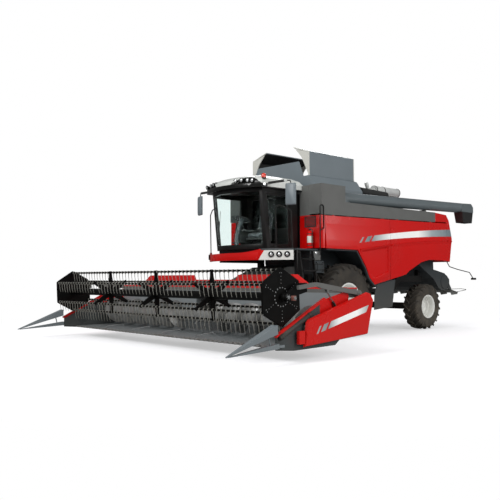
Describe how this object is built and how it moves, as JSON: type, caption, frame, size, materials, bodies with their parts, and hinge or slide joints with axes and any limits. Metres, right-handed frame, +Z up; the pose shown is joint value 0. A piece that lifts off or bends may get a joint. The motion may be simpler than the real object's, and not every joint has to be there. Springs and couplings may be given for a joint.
{
  "type": "combine harvester",
  "caption": "Wheeled combine harvester with a wide grain header, pickup reel, cab, grain tank, folded unloading tube and straw chopper.",
  "frame": {"origin": "on the ground below the middle of the front axle, close to the bottom centre of the whole machine", "axes": "-Y is the front of the machine, +X its left side, +Z up"},
  "size_m": [8.02, 11.9807, 4.7498],
  "materials": {
    "red_paint": "gloss",
    "grey_paint": "satin",
    "black_paint": "satin",
    "roof_white": "gloss",
    "sheet_steel": "satin",
    "bare_steel": "brushed",
    "body_shell": "matte",
    "tyre_rubber": "matte",
    "clear_glass": "gloss",
    "seat_cloth": "matte",
    "tine_plastic": "matte"
  },
  "bodies": {
    "chassis": {"cab_frame": "black_paint", "cab_platform": "black_paint", "cab_roof": "roof_white", "cab_windows": "clear_glass", "driver_station": "seat_cloth", "engine_block": "sheet_steel", "engine_hood": "sheet_steel", "exhaust_silencer": "bare_steel", "front_axle": "black_paint", "front_bumper": "grey_paint", "front_wall": "grey_paint", "grain_tank": "sheet_steel", "handrails": "black_paint", "main_frame": "black_paint", "rear_axle": "black_paint", "rear_hood": "red_paint", "rear_lamps": "black_paint", "side_frames": "black_paint", "straw_hood": "black_paint", "threshing_body": "body_shell", "upper_bands": "grey_paint", "wheel_guards": "grey_paint"},
    "feeder": {"feeder_house": "black_paint", "header_table": "red_paint", "cutterbar": "black_paint", "header_ends": "red_paint", "end_covers": "red_paint", "dividers": "sheet_steel"},
    "auger": {"table_auger": "sheet_steel"},
    "reel_frame": {"reel_arms": "black_paint"},
    "carriers": {"reel_carriers": "black_paint"},
    "reel": {"reel": "black_paint"},
    "steering_ring": {"eccentric_ring": "black_paint"},
    "tube": {"unloading_tube": "sheet_steel"},
    "cover_left": {"tank_cover_left": "sheet_steel"},
    "cover_right": {"tank_cover_right": "sheet_steel"},
    "door": {"cab_door": "black_paint"},
    "ladder": {"access_ladder": "black_paint"},
    "board": {"spreader_board": "black_paint"},
    "lift_cylinders": {"lift_barrels": "black_paint"},
    "lift_pistons": {"lift_rods": "black_paint"},
    "reel_cylinders": {"reel_lift_barrels": "black_paint"},
    "reel_pistons": {"reel_lift_rods": "black_paint"},
    "front_wheel_left": {"front_wheel_left": "tyre_rubber"},
    "rear_wheel_left": {"rear_wheel_left": "tyre_rubber"},
    "knuckle_left": {"knuckle_left": "black_paint"},
    "door_front_left": {"side_door_front_left": "red_paint"},
    "door_rear_left": {"side_door_rear_left": "red_paint"},
    "front_wheel_right": {"front_wheel_right": "tyre_rubber"},
    "rear_wheel_right": {"rear_wheel_right": "tyre_rubber"},
    "knuckle_right": {"knuckle_right": "black_paint"},
    "door_front_right": {"side_door_front_right": "red_paint"},
    "door_rear_right": {"side_door_rear_right": "red_paint"},
    "bar_1": {"tine_bar_1": "tine_plastic"},
    "bar_2": {"tine_bar_2": "tine_plastic"},
    "bar_3": {"tine_bar_3": "tine_plastic"},
    "bar_4": {"tine_bar_4": "tine_plastic"},
    "bar_5": {"tine_bar_5": "tine_plastic"},
    "bar_6": {"tine_bar_6": "tine_plastic"}
  },
  "joints": [
    {"name": "front_axle_left", "type": "hinge", "parent": "chassis", "child": "front_wheel_left", "pos_m": [1.25, 0, 0.915], "axis": [1, 0, 0], "continuous": true},
    {"name": "steer_left", "type": "hinge", "parent": "chassis", "child": "knuckle_left", "pos_m": [0.9, 3.6, 0.645], "axis": [0, 0, 1], "range_deg": [-35, 35]},
    {"name": "rear_axle_left", "type": "hinge", "parent": "knuckle_left", "child": "rear_wheel_left", "pos_m": [1.25, 3.6, 0.645], "axis": [1, 0, 0], "continuous": true},
    {"name": "front_axle_right", "type": "hinge", "parent": "chassis", "child": "front_wheel_right", "pos_m": [-1.25, 0, 0.915], "axis": [1, 0, 0], "continuous": true},
    {"name": "steer_right", "type": "hinge", "parent": "chassis", "child": "knuckle_right", "pos_m": [-0.9, 3.6, 0.645], "axis": [0, 0, 1], "range_deg": [-35, 35]},
    {"name": "rear_axle_right", "type": "hinge", "parent": "knuckle_right", "child": "rear_wheel_right", "pos_m": [-1.25, 3.6, 0.645], "axis": [1, 0, 0], "continuous": true},
    {"name": "feeder_lift", "type": "hinge", "parent": "chassis", "child": "feeder", "pos_m": [0, -0.72, 1.64], "axis": [-1, 0, 0], "range_deg": [-2, 14]},
    {"name": "auger_spin", "type": "hinge", "parent": "feeder", "child": "auger", "pos_m": [0, -3.47, 0.64], "axis": [1, 0, 0], "continuous": true},
    {"name": "reel_raise", "type": "hinge", "parent": "feeder", "child": "reel_frame", "pos_m": [0, -2.65, 1.18], "axis": [-1, 0, 0], "range_deg": [-3, 20]},
    {"name": "reel_fore_aft", "type": "slide", "parent": "reel_frame", "child": "carriers", "axis": [0, -0.992, -0.1266], "range_m": [-0.15, 0.15]},
    {"name": "reel_spin", "type": "hinge", "parent": "carriers", "child": "reel", "pos_m": [0, -4.62, 1.15], "axis": [1, 0, 0], "continuous": true},
    {"name": "ring_spin", "type": "hinge", "parent": "carriers", "child": "steering_ring", "pos_m": [0, -4.55, 1.15], "axis": [1, 0, 0], "continuous": true},
    {"name": "bar_turn_1", "type": "hinge", "parent": "reel", "child": "bar_1", "pos_m": [0, -4.64132, 1.61952], "axis": [1, 0, 0], "continuous": true},
    {"name": "bar_turn_2", "type": "hinge", "parent": "reel", "child": "bar_2", "pos_m": [0, -5.03727, 1.36629], "axis": [1, 0, 0], "continuous": true},
    {"name": "bar_turn_3", "type": "hinge", "parent": "reel", "child": "bar_3", "pos_m": [0, -5.01595, 0.89678], "axis": [1, 0, 0], "continuous": true},
    {"name": "bar_turn_4", "type": "hinge", "parent": "reel", "child": "bar_4", "pos_m": [0, -4.59868, 0.68048], "axis": [1, 0, 0], "continuous": true},
    {"name": "bar_turn_5", "type": "hinge", "parent": "reel", "child": "bar_5", "pos_m": [0, -4.20273, 0.93371], "axis": [1, 0, 0], "continuous": true},
    {"name": "bar_turn_6", "type": "hinge", "parent": "reel", "child": "bar_6", "pos_m": [0, -4.22405, 1.40322], "axis": [1, 0, 0], "continuous": true},
    {"name": "lift_barrel_swing", "type": "hinge", "parent": "chassis", "child": "lift_cylinders", "pos_m": [0, -0.19, 0.82], "axis": [-1, 0, 0], "range_deg": [-1.6, 11]},
    {"name": "lift_stroke", "type": "slide", "parent": "lift_cylinders", "child": "lift_pistons", "axis": [0, -0.9869, -0.1611], "range_m": [-0.031, 0.21]},
    {"name": "reel_cylinder_swing", "type": "hinge", "parent": "feeder", "child": "reel_cylinders", "pos_m": [0, -3.06, 0.64], "axis": [-1, 0, 0], "range_deg": [-2.3, 15.1]},
    {"name": "reel_stroke", "type": "slide", "parent": "reel_cylinders", "child": "reel_pistons", "axis": [0, -0.6497, 0.7602], "range_m": [-0.035, 0.225]},
    {"name": "tube_swing", "type": "hinge", "parent": "chassis", "child": "tube", "pos_m": [1.4, -0.045, 3.445], "axis": [0.1951, 0, -0.9808], "range_deg": [0, 90]},
    {"name": "cover_fold_left", "type": "hinge", "parent": "chassis", "child": "cover_left", "pos_m": [1, 0, 4], "axis": [0, -1, 0], "range_deg": [0, 55]},
    {"name": "side_door_front_lift_left", "type": "hinge", "parent": "chassis", "child": "door_front_left", "pos_m": [1.636, 0.275, 2.97437], "axis": [0, -0.9999, -0.0154], "range_deg": [0, 75]},
    {"name": "side_door_rear_lift_left", "type": "hinge", "parent": "chassis", "child": "door_rear_left", "pos_m": [1.636, 2.7, 3.0118], "axis": [0, -0.9999, -0.0154], "range_deg": [0, 75]},
    {"name": "cover_fold_right", "type": "hinge", "parent": "chassis", "child": "cover_right", "pos_m": [-1, 0, 4], "axis": [0, 1, 0], "range_deg": [0, 55]},
    {"name": "side_door_front_lift_right", "type": "hinge", "parent": "chassis", "child": "door_front_right", "pos_m": [-1.636, 0.275, 2.97437], "axis": [0, 0.9999, 0.0154], "range_deg": [0, 75]},
    {"name": "side_door_rear_lift_right", "type": "hinge", "parent": "chassis", "child": "door_rear_right", "pos_m": [-1.636, 2.7, 3.0118], "axis": [0, 0.9999, 0.0154], "range_deg": [0, 75]},
    {"name": "cab_door_swing", "type": "hinge", "parent": "chassis", "child": "door", "pos_m": [0.912, -1.415, 2.8], "axis": [0, 0, 1], "range_deg": [0, 85]},
    {"name": "ladder_swing", "type": "hinge", "parent": "chassis", "child": "ladder", "pos_m": [1.645, -1.95, 2.1], "axis": [0, 0, 1], "range_deg": [0, 90]},
    {"name": "board_tilt", "type": "hinge", "parent": "chassis", "child": "board", "pos_m": [0, 5.345, 1.095], "axis": [1, 0, 0], "range_deg": [-15, 20]}
  ],
  "couplings": [
    {"joint": "steer_right", "follows": "steer_left", "ratio": 1},
    {"joint": "ring_spin", "follows": "reel_spin", "ratio": 1},
    {"joint": "bar_turn_1", "follows": "reel_spin", "ratio": -1},
    {"joint": "bar_turn_2", "follows": "reel_spin", "ratio": -1},
    {"joint": "bar_turn_3", "follows": "reel_spin", "ratio": -1},
    {"joint": "bar_turn_4", "follows": "reel_spin", "ratio": -1},
    {"joint": "bar_turn_5", "follows": "reel_spin", "ratio": -1},
    {"joint": "bar_turn_6", "follows": "reel_spin", "ratio": -1},
    {"joint": "lift_barrel_swing", "follows": "feeder_lift", "ratio": 0.78},
    {"joint": "lift_stroke", "follows": "feeder_lift", "m_per_rad": 0.855},
    {"joint": "reel_cylinder_swing", "follows": "reel_raise", "ratio": 0.75},
    {"joint": "reel_stroke", "follows": "reel_raise", "m_per_rad": 0.64}
  ]
}
